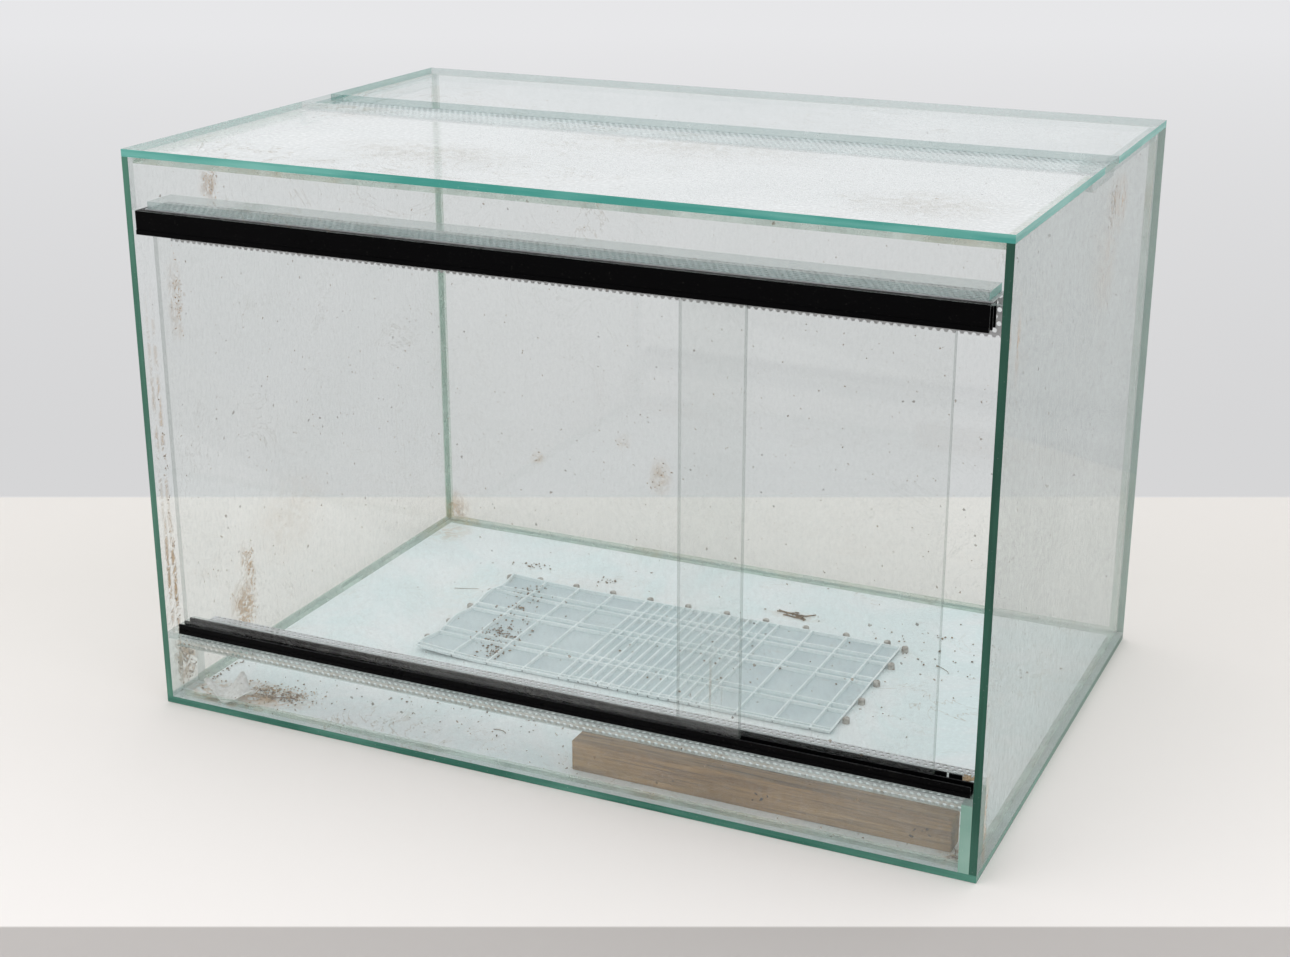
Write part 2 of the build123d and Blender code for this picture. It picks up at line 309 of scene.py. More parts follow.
FLOOR_BLOTS = (((-238, -172, 5), (48, 22, 20), 0.85), ((-110, 60, 5), (160, 90, 20), 0.14),
               ((60, 124, 5), (30, 10, 20), 0.35), ((278, -180, 5), (14, 20, 20), 0.45),
               ((-277, 168, 5), (20, 26, 20), 0.4), ((-280, -178, 5), (22, 20, 20), 0.6),
               ((-252, -191, 5), (40, 7, 20), 0.85))

glass_side = pane_material("glass_side", (0.940, 0.956, 0.954), haze=0.16, film=0.10, specks=0.9,
                           streaks=0.45, shift=(1, 2, 3), film_colour=(0.55, 0.585, 0.565),
                           blots=RIGHT_BLOTS, scuff=0.28)
glass_left = pane_material("glass_left", CLEAR_TINT, haze=0.09, specks=0.9, streaks=0.5, shift=(4, 7, 1),
                           blots=LEFT_BLOTS, scuff=0.25)
glass_back = pane_material("glass_back", CLEAR_TINT, haze=0.06, specks=0.5, streaks=0.35, shift=(9, 3, 5),
                           blots=BACK_BLOTS, scuff=0.12)
glass_door = pane_material("glass_door", (0.985, 0.99, 0.988), haze=0.05, specks=0.6, streaks=0.3,
                           shift=(2, 8, 6), scuff=0.1)
glass_front = pane_material("glass_front", (0.992, 0.996, 0.995), haze=0.05, film=0.02, specks=0.9,
                            streaks=0.2, shift=(6, 1, 8), film_colour=(0.88, 0.93, 0.92), scuff=0.25)
glass_roof = pane_material("glass_roof", (0.975, 0.988, 0.987), haze=0.14, film=0.20, specks=0.6, streaks=0.1,
                           shift=(3, 5, 2), film_colour=(0.94, 0.945, 0.945), blots=ROOF_BLOTS,
                           blot_colour=(0.56, 0.50, 0.42))
glass_lid = pane_material("glass_lid", (0.965, 0.982, 0.982), haze=0.12, film=0.10, specks=0.6, streaks=0.1,
                          shift=(5, 9, 2), film_colour=(0.90, 0.91, 0.91))
glass_base = pane_material("glass_base", (0.97, 0.992, 0.992), haze=0.08, film=0.86, specks=0.9, streaks=0.0,
                           shift=(8, 2, 4), film_colour=(0.86, 0.955, 0.955), blots=FLOOR_BLOTS, scuff=0.12)
glass_small = pane_material("glass_small", (0.975, 0.99, 0.985), haze=0.06, film=0.02, specks=0.5,
                            streaks=0.1)

# Streaks that run along a level edge, up an upright one, or coarse ones in no direction.
LEVEL = (0.05, 0.05, 1)
UPRIGHT = (1, 1, 0.04)
COARSE = (0.1, 0.1, 0.1)

edge_teal = edge_material("edge_teal", (0.06, 0.36, 0.30), (0.32, 0.70, 0.62), along=LEVEL)
edge_roof_side = edge_material("edge_roof_side", (0.14, 0.40, 0.34), (0.42, 0.66, 0.60), along=LEVEL)
edge_roof_back = edge_material("edge_roof_back", (0.20, 0.38, 0.34), (0.50, 0.62, 0.60), cover=0.6)
edge_slot = edge_material("edge_slot", (0.30, 0.46, 0.44), (0.62, 0.72, 0.71), cover=0.4)
edge_right = edge_material("edge_right", (0.010, 0.062, 0.040), (0.04, 0.17, 0.115), along=UPRIGHT)
edge_left = edge_material("edge_left", (0.045, 0.16, 0.11), (0.13, 0.34, 0.25), along=UPRIGHT)
edge_base = edge_material("edge_base", (0.022, 0.13, 0.09), (0.14, 0.36, 0.28), along=(0.04, 0.04, 1))
edge_pale = edge_material("edge_pale", (0.20, 0.37, 0.30), (0.42, 0.60, 0.52), along=COARSE)
edge_thin = edge_material("edge_thin", (0.42, 0.50, 0.48), (0.66, 0.72, 0.70), along=COARSE, cover=0.35)
edge_door = edge_material("edge_door", (0.16, 0.19, 0.17), (0.34, 0.38, 0.35), along=UPRIGHT, cover=0.3)
seam = edge_material("seam", (0.25, 0.38, 0.31), (0.48, 0.58, 0.50), rough=0.5, along=COARSE, cover=0.5)

SIDES = {"left": (-1, 0, 0), "right": (1, 0, 0), "front": (0, -1, 0), "back": (0, 1, 0),
         "under": (0, 0, -1), "top": (0, 0, 1)}


def dress_pane(name, broad, edge, **special):
    """Give a pane its broad faces' material, and its cut edges theirs. special maps some of the SIDES
    to other materials."""
    node = nodes[name]
    low, high = boxes[name]
    size = high - low
    thin = min(range(3), key=lambda axis: size[axis])
    node.data.materials.clear()
    for material in [broad, edge] + list(special.values()):
        node.data.materials.append(material)
    for polygon in node.data.polygons:
        side = max(SIDES, key=lambda key: polygon.normal.dot(Vector(SIDES[key])))
        if side in special:
            polygon.material_index = 2 + list(special).index(side)
        elif abs(polygon.normal[thin]) > 0.9:
            polygon.material_index = 0
        else:
            polygon.material_index = 1


dress_pane("base_plate", glass_base, edge_base)
dress_pane("left_side_panel", glass_left, seam, front=edge_left, back=edge_pale)
dress_pane("right_side_panel", glass_side, seam, front=edge_right, back=edge_pale)
dress_pane("back_panel", glass_back, seam)
dress_pane("lower_front_pane", glass_front, edge_thin)
dress_pane("upper_fascia_pane", glass_front, edge_thin)
dress_pane("left_door", glass_door, edge_door)
dress_pane("right_door", glass_door, edge_door)
dress_pane("roof_front_plate", glass_roof, edge_slot, front=edge_teal, right=edge_teal, left=edge_roof_side)
dress_pane("roof_lid", glass_lid, edge_slot, right=edge_teal, left=edge_roof_side, back=edge_roof_back)
dress_pane("lower_ledge", glass_small, edge_thin)
dress_pane("upper_ledge", glass_small, edge_thin, front=edge_slot, right=edge_teal)
dress_pane("ledge_post_left", glass_small, edge_thin)
dress_pane("ledge_post_right", edge_pale, edge_pale)
for small in ("roof_filler_left", "roof_filler_right", "strip_tab_left", "strip_tab_right",
              "lid_cleat_left", "lid_cleat_right"):
    dress_pane(small, glass_small, edge_slot)


# Black plastic tracks

def plastic_material():
    s = Shader("black_plastic")
    dust = s.spread(s.noise(60, 6, 0.7), 0.60, 0.8, 0, 0.03)
    fine = s.spread(s.noise(700, 2), 0.66, 0.74, 0, 0.08)
    colour = s.colour(s.most(dust, fine), (0.0015, 0.0015, 0.0018), (0.16, 0.15, 0.135))
    rough = s.spread(s.noise(35, 4), 0.3, 0.7, 0.22, 0.42)
    lines = s.bump(s.noise(300, 2, stretch=(0.01, 1, 1)), 0.0001, 0.3)
    return s.done(s.principled(colour, rough, Normal=lines, Specular_IOR_Level=0.04))


def paint(name, material):
    """Give a whole node one material."""
    node = nodes[name]
    node.data.materials.clear()
    node.data.materials.append(material)
    node.data.polygons.foreach_set("material_index", [0] * len(node.data.polygons))


black = plastic_material()
for track in ("lower_door_track", "upper_door_track"):
    paint(track, black)


# Silicone beads

def silicone_material():
    s = Shader("silicone")
    old = s.spread(s.noise(14, 5, 0.6), 0.52, 0.70)
    colour = s.colour(old, (0.60, 0.70, 0.65), (0.60, 0.52, 0.36))
    colour = s.colour(s.blot((-290, 190, 10), (34, 34, 30)), colour, (0.66, 0.50, 0.27))
    spots = s.spread(s.noise(320, 4, 0.7), 0.60, 0.70)
    colour = s.colour(s.times(spots, 0.6), colour, (0.22, 0.16, 0.10))
    body = s.principled(colour, 0.35, Normal=s.bump(s.noise(180, 4), 0.0006, 0.6))
    cover = s.spread(s.noise(45, 4), 0.3, 0.75, 0.12, 0.55)
    return s.done(s.blend(cover, s.clear((0.93, 0.96, 0.93)), body))


silicone = silicone_material()
for bead in [name for name in nodes if name.startswith("silicone")]:
    paint(bead, silicone)


# Perforated sheet: round holes in staggered rows, bent along one row line

PITCH = 4.7 * MM  # from hole to hole along a row
ROW = 4.1 * MM  # from row to row
HOLE = 1.45 * MM  # a hole's radius
HOLE_POINTS = 16
SHEET = 0.8 * MM  # thickness
SAME_POINT = 1e7  # places that round alike at this many to the metre are one vertex
ROUNDING = 1e-9


def hole_ring(u, v):
    """The points round a hole, from the +u side."""
    points = []
    for step in range(HOLE_POINTS):
        angle = math.tau * step / HOLE_POINTS
        points.append((u + HOLE * math.cos(angle), v + HOLE * math.sin(angle)))
    return points


def perforated_sheet(name, length, rows, place, toothed):
    """A sheet with this many rows of holes. place maps (u, v) to a point, u from 0 to length and v
    from 0. A toothed sheet ends in a cut through the middle of one more row of holes."""
    columns = round(length / PITCH)
    step = length / columns
    vertices, index, faces = [], {}, []

    def vertex(u, v):
        key = (round(u * SAME_POINT), round(v * SAME_POINT))
        if key not in index:
            index[key] = len(vertices)
            vertices.append(place(u, v))
        return index[key]

    def tile(u, v, half):
        """A rectangle of sheet round one hole, or only its lower half."""
        rim = [(u + step / 2, v), (u + step / 2, v + ROW / 2), (u, v + ROW / 2), (u - step / 2, v + ROW / 2),
               (u - step / 2, v), (u - step / 2, v - ROW / 2), (u, v - ROW / 2), (u + step / 2, v - ROW / 2)]
        ring = hole_ring(u, v)
        for side in (range(4, 8) if half else range(8)):
            after = (side + 1) % 8
            inner = [ring[(2 * after) % HOLE_POINTS], ring[2 * side + 1], ring[2 * side]]
            faces.append([vertex(*point) for point in [rim[side], rim[after]] + inner])

    for row in range(rows + (1 if toothed else 0)):
        v = (row + 0.5) * ROW
        half = row == rows
        if row % 2 == 0:
            for column in range(columns):
                tile((column + 0.5) * step, v, half)
            continue
        for column in range(1, columns):
            tile(column * step, v, half)
        top = v if half else v + ROW / 2
        for u0, u1 in ((0, step / 2), (length - step / 2, length)):
            outline = [(u0, v - ROW / 2), (u1, v - ROW / 2), (u1, v), (u1, top), (u0, top), (u0, v)]
            ordered = list(dict.fromkeys(vertex(*point) for point in outline))
            faces.append(ordered)
    return thicken(mesh_object(name, vertices, faces), SHEET)


def sheet_material(name, bright, dim, paler_below=-1.0):
    """Perforated metal, paler and matt below this height."""
    s = Shader(name)
    dull = s.spread(s.noise(40, 5, 0.65), 0.4, 0.75)
    colour = s.colour(dull, bright, dim)
    # Below this height the sheet is paler and not metal.
    paler = s.spread(s.axis("Z"), paler_below - MM, paler_below, 1, 0)
    colour = s.colour(paler, colour, s.colour(dull, (0.68, 0.70, 0.67), (0.50, 0.48, 0.42)))
    dirty = s.spread(s.noise(90, 5, 0.7), 0.64, 0.74, 0, 0.7)
    colour = s.colour(dirty, colour, (0.24, 0.18, 0.12))
    rough = s.spread(dull, 0, 1, 0.32, 0.6)
    metal = s.times(s.spread(dirty, 0, 0.7, 0.28, 0.05), s.spread(paler, 0, 1, 1, 0))
    return s.done(s.principled(colour, rough, Metallic=metal))


metal_sheet = sheet_material("perforated_metal", (0.60, 0.605, 0.62), (0.44, 0.435, 0.43),
                             paler_below=boxes["lower_vent_strip"][1].z - 1.5 * MM)
dusty_sheet = sheet_material("perforated_dusty", (0.66, 0.72, 0.72), (0.48, 0.52, 0.52))


def strip(name, node, rows, place, toothed=False, material=metal_sheet):
    """A perforated sheet that takes the place of one node."""
    low, high = boxes[node]
    piece = perforated_sheet(name, high.x - low.x, rows, place, toothed)
    piece.data.materials.append(material)
    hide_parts(node)
    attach(piece, "tank")


LIP_ROWS_LOWER = 2


def lower_strip_place(u, v):
    """From the lip's lower edge up, then back under the ledge."""
    low, high = boxes["lower_vent_strip"]
    lip = high.z - low.z - SHEET / 2
    fold = LIP_ROWS_LOWER * ROW
    if v <= fold + ROUNDING:
        return (low.x + u, low.y + SHEET / 2, high.z - SHEET / 2 - (fold - v) * lip / fold)
    return (low.x + u, low.y + SHEET / 2 + (v - fold), high.z - SHEET / 2)


lower_low, lower_high = boxes["lower_vent_strip"]
leg_rows_lower = int((lower_high.y - lower_low.y) / ROW)
strip("perforated_lower", "lower_vent_strip", LIP_ROWS_LOWER + leg_rows_lower, lower_strip_place)


def upper_strip_place(u, v):
    """From under the front of the ledge to the back, then down."""
    low, high = boxes["upper_vent_strip"]
    leg = high.y - low.y - SHEET / 2
    fold = round(leg / ROW) * ROW
    if v <= fold + ROUNDING:
        return (low.x + u, low.y + v * leg / fold, high.z - SHEET / 2)
    return (low.x + u, low.y + leg, high.z - SHEET / 2 - (v - fold))


upper_low, upper_high = boxes["upper_vent_strip"]
leg_rows_upper = round((upper_high.y - upper_low.y - SHEET / 2) / ROW)
lip_rows_upper = int((upper_high.z - upper_low.z) / ROW - 0.5)
strip("perforated_upper", "upper_vent_strip", leg_rows_upper + lip_rows_upper, upper_strip_place,
      toothed=True)


def roof_strip_place(u, v):
    low, high = boxes["roof_vent_strip"]
    return (low.x + u, low.y + v, high.z - SHEET / 2)


roof_low, roof_high = boxes["roof_vent_strip"]
strip("perforated_roof", "roof_vent_strip", int((roof_high.y - roof_low.y) / ROW), roof_strip_place,
      material=dusty_sheet)


# Moulded grid on the floor

def grid_plastic_material(name, colour, shade):
    s = Shader(name)
    cloud = s.spread(s.noise(30, 4), 0.35, 0.65)
    tone = s.colour(cloud, colour, shade)
    soil = s.spread(s.noise(55, 6, 0.7, shift=(2, 0, 0)), 0.62, 0.76, 0, 0.45)
    tone = s.colour(soil, tone, (0.40, 0.33, 0.25))
    return s.done(s.principled(tone, 0.45, Normal=s.bump(s.noise(260, 3), 0.0003, 0.4)))


grid_rib = grid_plastic_material("grid_rib", (0.86, 0.92, 0.92), (0.76, 0.84, 0.84))
# Painted shade: the cell beds get a darker copy of the rib plastic, for the shade in the sunken cells.
shaded_grid_cell = grid_plastic_material("shaded_grid_cell", (0.52, 0.61, 0.63), (0.60, 0.69, 0.70))

RIB = 1.2 * MM  # width of a rib's top
DRAFT = 0.35 * MM  # how far a rib's sides slope outwards
PLATE = 0.8 * MM  # height of a cell's bed over the floor
LATTICE = 0.6 * MM  # thickness of the moulded sheet
LONG_EDGE = 9 * MM  # edges over this are divided, so that they can bend
CELL_WIDTHS = [30.0] * 4 + [8.0] * 14 + [28.0] * 3 + [15.0]
ROW_DEPTHS = [4.0, 30.0, 9.0, 42.0, 9.0, 28.0, 10.0, 23.0]

# The grid's crumpled left edge: its reach as a share of the width, and lifts in mm.
TENT_REACH = 0.17
TENTS = 3
EDGE_LIFT = 0.6
TENT_LIFT = 3.2
WAVE_LIFT = 0.7


def running(steps, start):
    """Places in metres, from the start on, these steps in mm apart."""
    places = [start]
    for step in steps:
        places.append(places[-1] + step * MM)
    return places


def crumple(x, y, low, high):
    """How far the thin grid is lifted off the floor: tents at the left edge, slight waves elsewhere."""
    from_left = (x - low.x) / (high.x - low.x)
    edge = max(0.0, 1 - from_left / TENT_REACH)
    tents = 0.5 + 0.5 * math.sin((y - low.y) / (high.y - low.y) * TENTS * math.tau + 0.6)
    wave = noise.noise(Vector((x * 28, y * 28, 0.3)))
    return edge ** 1.3 * (EDGE_LIFT + TENT_LIFT * tents) * MM + max(0.0, wave) * WAVE_LIFT * MM


def floor_grid():
    """The moulded lattice: ribs round sunken cells, crumpled at the left."""
    low, high = boxes["floor_grid"]
    columns = running(CELL_WIDTHS, low.x + RIB / 2)
    rows = running(ROW_DEPTHS, low.y + RIB / 2)
    plate = floor_z + PLATE
    top = high.z
    mesh = bmesh.new()
    corner = {}

    def point(x, y, z):
        key = (round(x * SAME_POINT), round(y * SAME_POINT), round(z * SAME_POINT))
        if key not in corner:
            corner[key] = mesh.verts.new((x, y, z))
        return corner[key]

    def quad(points, index):
        face = mesh.faces.new([point(*p) for p in points])
        face.material_index = index

    def rib_top(x0, x1, y0, y1):
        quad([(x0, y0, top), (x1, y0, top), (x1, y1, top), (x0, y1, top)], 0)

    half = RIB / 2
    for i, x in enumerate(columns):
        for j, y in enumerate(rows):
            rib_top(x - half, x + half, y - half, y + half)
            if i + 1 < len(columns):
                rib_top(x + half, columns[i + 1] - half, y - half, y + half)
            if j + 1 < len(rows):
                rib_top(x - half, x + half, y + half, rows[j + 1] - half)
            if i + 1 < len(columns) and j + 1 < len(rows):
                xa, xb = x + half, columns[i + 1] - half
                ya, yb = y + half, rows[j + 1] - half
                rim = [(xa, ya, top), (xb, ya, top), (xb, yb, top), (xa, yb, top)]
                bed = [(xa + DRAFT, ya + DRAFT, plate), (xb - DRAFT, ya + DRAFT, plate),
                       (xb - DRAFT, yb - DRAFT, plate), (xa + DRAFT, yb - DRAFT, plate)]
                for side in range(4):
                    after = (side + 1) % 4
                    quad([rim[side], rim[after], bed[after], bed[side]], 0)
                # The bed takes the darker cell plastic: painted shade.
                quad(bed, 1)
    for _ in range(2):
        long_edges = [edge for edge in mesh.edges if edge.calc_length() > LONG_EDGE]
        bmesh.ops.subdivide_edges(mesh, edges=long_edges, cuts=2, use_grid_fill=True)
    for vert in mesh.verts:
        vert.co.z += crumple(vert.co.x, vert.co.y, low, high)
    data = bpy.data.meshes.new("floor_lattice")
    mesh.to_mesh(data)
    mesh.free()
    piece = bpy.data.objects.new("floor_lattice", data)
    bpy.context.scene.collection.objects.link(piece)
    data.materials.append(grid_rib)
    data.materials.append(shaded_grid_cell)
    piece.modifiers.new("thickness", "SOLIDIFY").thickness = LATTICE
    apply_modifiers(piece)
    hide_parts("floor_grid")
    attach(piece, "tank")


floor_grid()


def peg_material():
    s = Shader("peg_plastic")
    tone = s.colour(s.spread(s.noise(400, 4), 0.35, 0.65), (0.27, 0.245, 0.21), (0.56, 0.54, 0.50))
    return s.done(s.principled(tone, 0.6))


paint("grid_pegs", peg_material())


# Wooden batten

def wood_material():
    s = Shader("weathered_wood")
    grain = s.noise(130, 6, 0.7, stretch=(0.05, 1, 1), distortion=0.5)
    fine = s.noise(620, 4, 0.7, stretch=(0.025, 1, 1))
    tone = s.colour(s.spread(grain, 0.38, 0.62), (0.43, 0.27, 0.115), (0.19, 0.11, 0.042))
    tone = s.colour(s.spread(fine, 0.50, 0.64, 0, 0.8), tone, (0.10, 0.062, 0.032))
    grey = s.spread(s.noise(11, 3), 0.4, 0.65, 0, 0.35)
    tone = s.colour(grey, tone, (0.34, 0.23, 0.12))
    height = s.math("ADD", grain, s.times(fine, 0.4))
    return s.done(s.principled(tone, 0.75, Normal=s.bump(height, 0.0008, 0.6)))


paint("wooden_batten", wood_material())


# Loose dirt, crumbs and scraps

def soil_material(name, light, dark, cover=1.0):
    """Dry soil. A cover under 1 makes it a thin stain."""
    s = Shader(name)
    share = s.spread(s.noise(350, 4, 0.6), 0.35, 0.65)
    body = s.principled(s.colour(share, light, dark), 0.85)
    if cover == 1.0:
        return s.done(body)
    return s.done(s.blend(cover, s.clear((0.97, 0.95, 0.92)), body))


soil = soil_material("soil", (0.34, 0.25, 0.16), (0.12, 0.085, 0.055))
rust_stain = soil_material("rust_stain", (0.66, 0.45, 0.26), (0.48, 0.30, 0.16), cover=0.5)
stuck_dirt = soil_material("stuck_dirt", (0.46, 0.36, 0.25), (0.26, 0.19, 0.125), cover=0.6)
dry_crumbs = soil_material("dry_crumbs", (0.56, 0.42, 0.27), (0.34, 0.24, 0.15))
pale_scrap = soil_material("pale_scrap", (0.90, 0.90, 0.88), (0.68, 0.67, 0.63))
dark_knot = soil_material("dark_knot", (0.085, 0.06, 0.04), (0.03, 0.022, 0.016))
AXES = [Vector((1, 0, 0)), Vector((0, 1, 0)), Vector((0, 0, 1))]

# Loose bits stay inside the glass, in mm, and out of the solids that stand on the floor.
ROOM_TOP = 384
ROOM_LOW = (inner_left / MM + 3, inner_front / MM + 2, floor_z / MM + 3)
ROOM_HIGH = (inner_right / MM - 3, inner_back / MM - 3, ROOM_TOP)
SOLIDS_ON_FLOOR = ("wooden_batten", "ledge_post_left", "ledge_post_right")

CRUMB_GAP = 0.05 * MM  # between a crumb and what it lies on
FLECK_HALF = 0.14 * MM  # half of a fleck's thickness
FLECK_GAP = 0.03 * MM  # between a fleck and its pane
STRAND_STEPS = 9
STRAND_CURL = 0.35


def in_room(place, axes):
    """Whether this place, in mm, is inside the glass along these axes."""
    return all(ROOM_LOW[axis] <= place[axis] <= ROOM_HIGH[axis] for axis in axes)


def in_node(place, name, margin=2.0):
    """Whether this place, seen from above, is over a node."""
    low, high = (corner / MM for corner in boxes[name])
    return all(low[axis] - margin <= place[axis] <= high[axis] + margin for axis in (0, 1))


class Litter:
    """Small loose bits, gathered in one mesh that rides on one body."""

    def __init__(self, name, material, body, seed):
        self.name, self.material, self.body = name, material, body
        self.random = random.Random(seed)
        self.vertices, self.faces = [], []

    def bit(self, centre, long, wide, thick, axis):
        """An irregular lump, turned at random about this axis."""
        normal = AXES[axis]
        across = (AXES[(axis + 1) % 3], AXES[(axis + 2) % 3])
        turn = self.random.uniform(0, math.tau)
        u = across[0] * math.cos(turn) + across[1] * math.sin(turn)
        v = across[1] * math.cos(turn) - across[0] * math.sin(turn)
        start = len(self.vertices)
        ring = [(long, 0), (0.4 * long, wide), (-0.6 * long, 0.8 * wide), (-long, -0.2 * wide),
                (0.1 * long, -wide)]
        for a, b in ring:
            uneven = self.random.uniform(0.6, 1.15)
            self.vertices.append(centre + u * a * uneven + v * b * uneven)
        self.vertices.append(centre + normal * thick)
        self.vertices.append(centre - normal * thick)
        for side in range(5):
            after = start + (side + 1) % 5
            self.faces.append((start + side, after, start + 5))
            self.faces.append((after, start + side, start + 6))

    def heap(self, x, y, z, rx, ry, count, small, large, allowed):
        """Crumbs on a surface, densest in the middle, where the place is allowed. z is the surface's
        height in mm, or a function that gives it for a place."""
        for _ in range(count):
            size = self.random.uniform(small, large) * MM
            thick = size * self.random.uniform(0.35, 0.7)
            place = Vector((x + self.random.gauss(0, rx / 2), y + self.random.gauss(0, ry / 2), 0))
            if not allowed(place):
                continue
            place.z = z(place) if callable(z) else z
            place = place * MM
            place.z += thick + CRUMB_GAP
            self.bit(place, size, size * self.random.uniform(0.4, 0.9), thick, 2)

    def flecks(self, axis, level, sign, low, high, count, small, large):
        """Flat flecks stuck at random to an upright or level pane; low and high bound them in mm."""
        for _ in range(count):
            place = [self.random.uniform(a, b) for a, b in zip(low, high)]
            size = self.random.uniform(small, large) * MM
            self.fleck(axis, level, sign, place, size)

    def fleck(self, axis, level, sign, place, size):
        """One fleck on a pane that lies across this axis at this level in mm, on the side of sign."""
        place = Vector(place) * MM
        place[axis] = level * MM + sign * (FLECK_HALF + FLECK_GAP)
        self.bit(place, size, size * self.random.uniform(0.25, 0.7), FLECK_HALF, axis)

    def smear(self, axis, level, sign, centre, reach, count, small, large):
        """A stain: flecks crowded round a point."""
        others = [other for other in range(3) if other != axis]
        for _ in range(count):
            place = [self.random.gauss(c, r / 2) for c, r in zip(centre, reach)]
            size = self.random.uniform(small, large) * MM
            if in_room(place, others):
                self.fleck(axis, level, sign, place, size)

    def strand(self, start, heading, length, radius):
        """A thin curved stalk or hair, three-sided."""
        place = Vector(start) * MM
        rings = []
        for _ in range(STRAND_STEPS + 1):
            rings.append(len(self.vertices))
            side = Vector((-math.sin(heading), math.cos(heading), 0))
            for a, b in ((0, 1), (-0.87, -0.5), (0.87, -0.5)):
                self.vertices.append(place + (side * a + AXES[2] * b) * radius * MM)
            heading += self.random.uniform(-STRAND_CURL, STRAND_CURL)
            step = length / STRAND_STEPS * MM
            place = place + Vector((math.cos(heading), math.sin(heading), 0)) * step
        for first, second in zip(rings, rings[1:]):
            for side in range(3):
                after = (side + 1) % 3
                self.faces.append((first + side, first + after, second + after, second + side))
        self.faces.append((rings[0] + 2, rings[0] + 1, rings[0]))
        self.faces.append((rings[-1], rings[-1] + 1, rings[-1] + 2))

    def lay(self):
        """Make the gathered bits one piece."""
        piece = mesh_object(self.name, self.vertices, self.faces)
        piece.data.materials.append(self.material)
        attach(piece, self.body)


def on_open_floor(place):
    clear = not any(in_node(place, name) for name in SOLIDS_ON_FLOOR + ("floor_grid",))
    return clear and in_room(place, (0, 1))


def on_grid_top(place):
    return in_node(place, "floor_grid", -2.0)


def grid_level(place):
    """The lattice's own surface here, in mm: a rib's top or a cell's bed."""
    low, high = boxes["floor_grid"]
    x, y = place.x * MM, place.y * MM
    wall = RIB / 2 + DRAFT
    on_rib = any(abs(x - line) < wall for line in running(CELL_WIDTHS, low.x + RIB / 2))
    on_rib = on_rib or any(abs(y - line) < wall for line in running(ROW_DEPTHS, low.y + RIB / 2))
    level = high.z if on_rib else floor_z + PLATE
    return (level + crumple(x, y, low, high)) / MM


def on_lower_ledge(place):
    """Behind the track, on the ledge."""
    low, high = (corner / MM for corner in boxes["lower_ledge"])
    track_back = boxes["lower_door_track"][1].y / MM
    return low.x + 3 <= place.x <= high.x - 3 and track_back + 2 <= place.y <= high.y - 2


def lay_floor_litter():
    floor = floor_z / MM
    crumbs = Litter("floor_crumbs", soil, "tank", 11)
    for x, y, rx, ry, count in ((-228, -170, 26, 9, 60), (-215, -164, 20, 8, 26), (-177, 129, 18, 8, 26),
                                (-105, 126, 12, 6, 18), (58, 124, 16, 5, 30), (281, -184, 6, 5, 26),
                                (265, -150, 14, 14, 16), (-286, -150, 3, 50, 40), (150, 40, 130, 90, 26),
                                (-60, -130, 200, 40, 120), (200, 110, 90, 60, 60)):
        crumbs.heap(x, y, floor, rx, ry, count, 0.4, 1.5, on_open_floor)
    crumbs.lay()
    corner = Litter("corner_heap", dry_crumbs, "tank", 15)
    for x, y, rx, ry, count in ((-240, -168, 34, 14, 260), (-256, -190, 30, 3, 90),
                                (-222, -160, 26, 10, 80), (282, -178, 6, 10, 60)):
        corner.heap(x, y, floor, rx, ry, count, 0.3, 1.3, on_open_floor)
    corner.lay()
    on_grid = Litter("grid_crumbs", soil, "tank", 12)
    for x, y, rx, ry, count in ((-130, -10, 18, 26, 110), (-122, -42, 12, 14, 60), (-150, 75, 14, 14, 50),
                                (-140, 35, 16, 50, 60), (30, 20, 120, 70, 50)):
        on_grid.heap(x, y, grid_level, rx, ry, count, 0.4, 1.6, on_grid_top)
    on_grid.lay()
    stalks = Litter("dry_stalks", soil, "tank", 13)
    for x, y, heading, length, radius in (
            (44, 128, -0.25, 28, 0.7), (50, 121, 0.1, 20, 0.6), (60, 126, -0.6, 16, 0.5),
            (66, 119, 2.6, 14, 0.5), (-230, -174, 0.4, 22, 0.4), (-60, -150, 0.3, 12, 0.3),
            (283, -187, 1.5, 14, 0.4), (200, 70, 1.9, 18, 0.2), (-212, 60, 0.2, 20, 0.2)):
        stalks.strand((x, y, floor + radius + 0.1), heading, length, radius)
    stalks.lay()
    ledge = boxes["lower_ledge"][1].z / MM
    grit = Litter("ledge_grit", dry_crumbs, "tank", 14)
    grit.heap(284, -177.5, ledge, 6, 3.5, 60, 0.6, 1.5, on_lower_ledge)
    grit.heap(-284, -177.5, ledge, 8, 3.5, 48, 0.5, 1.3, on_lower_ledge)
    grit.lay()


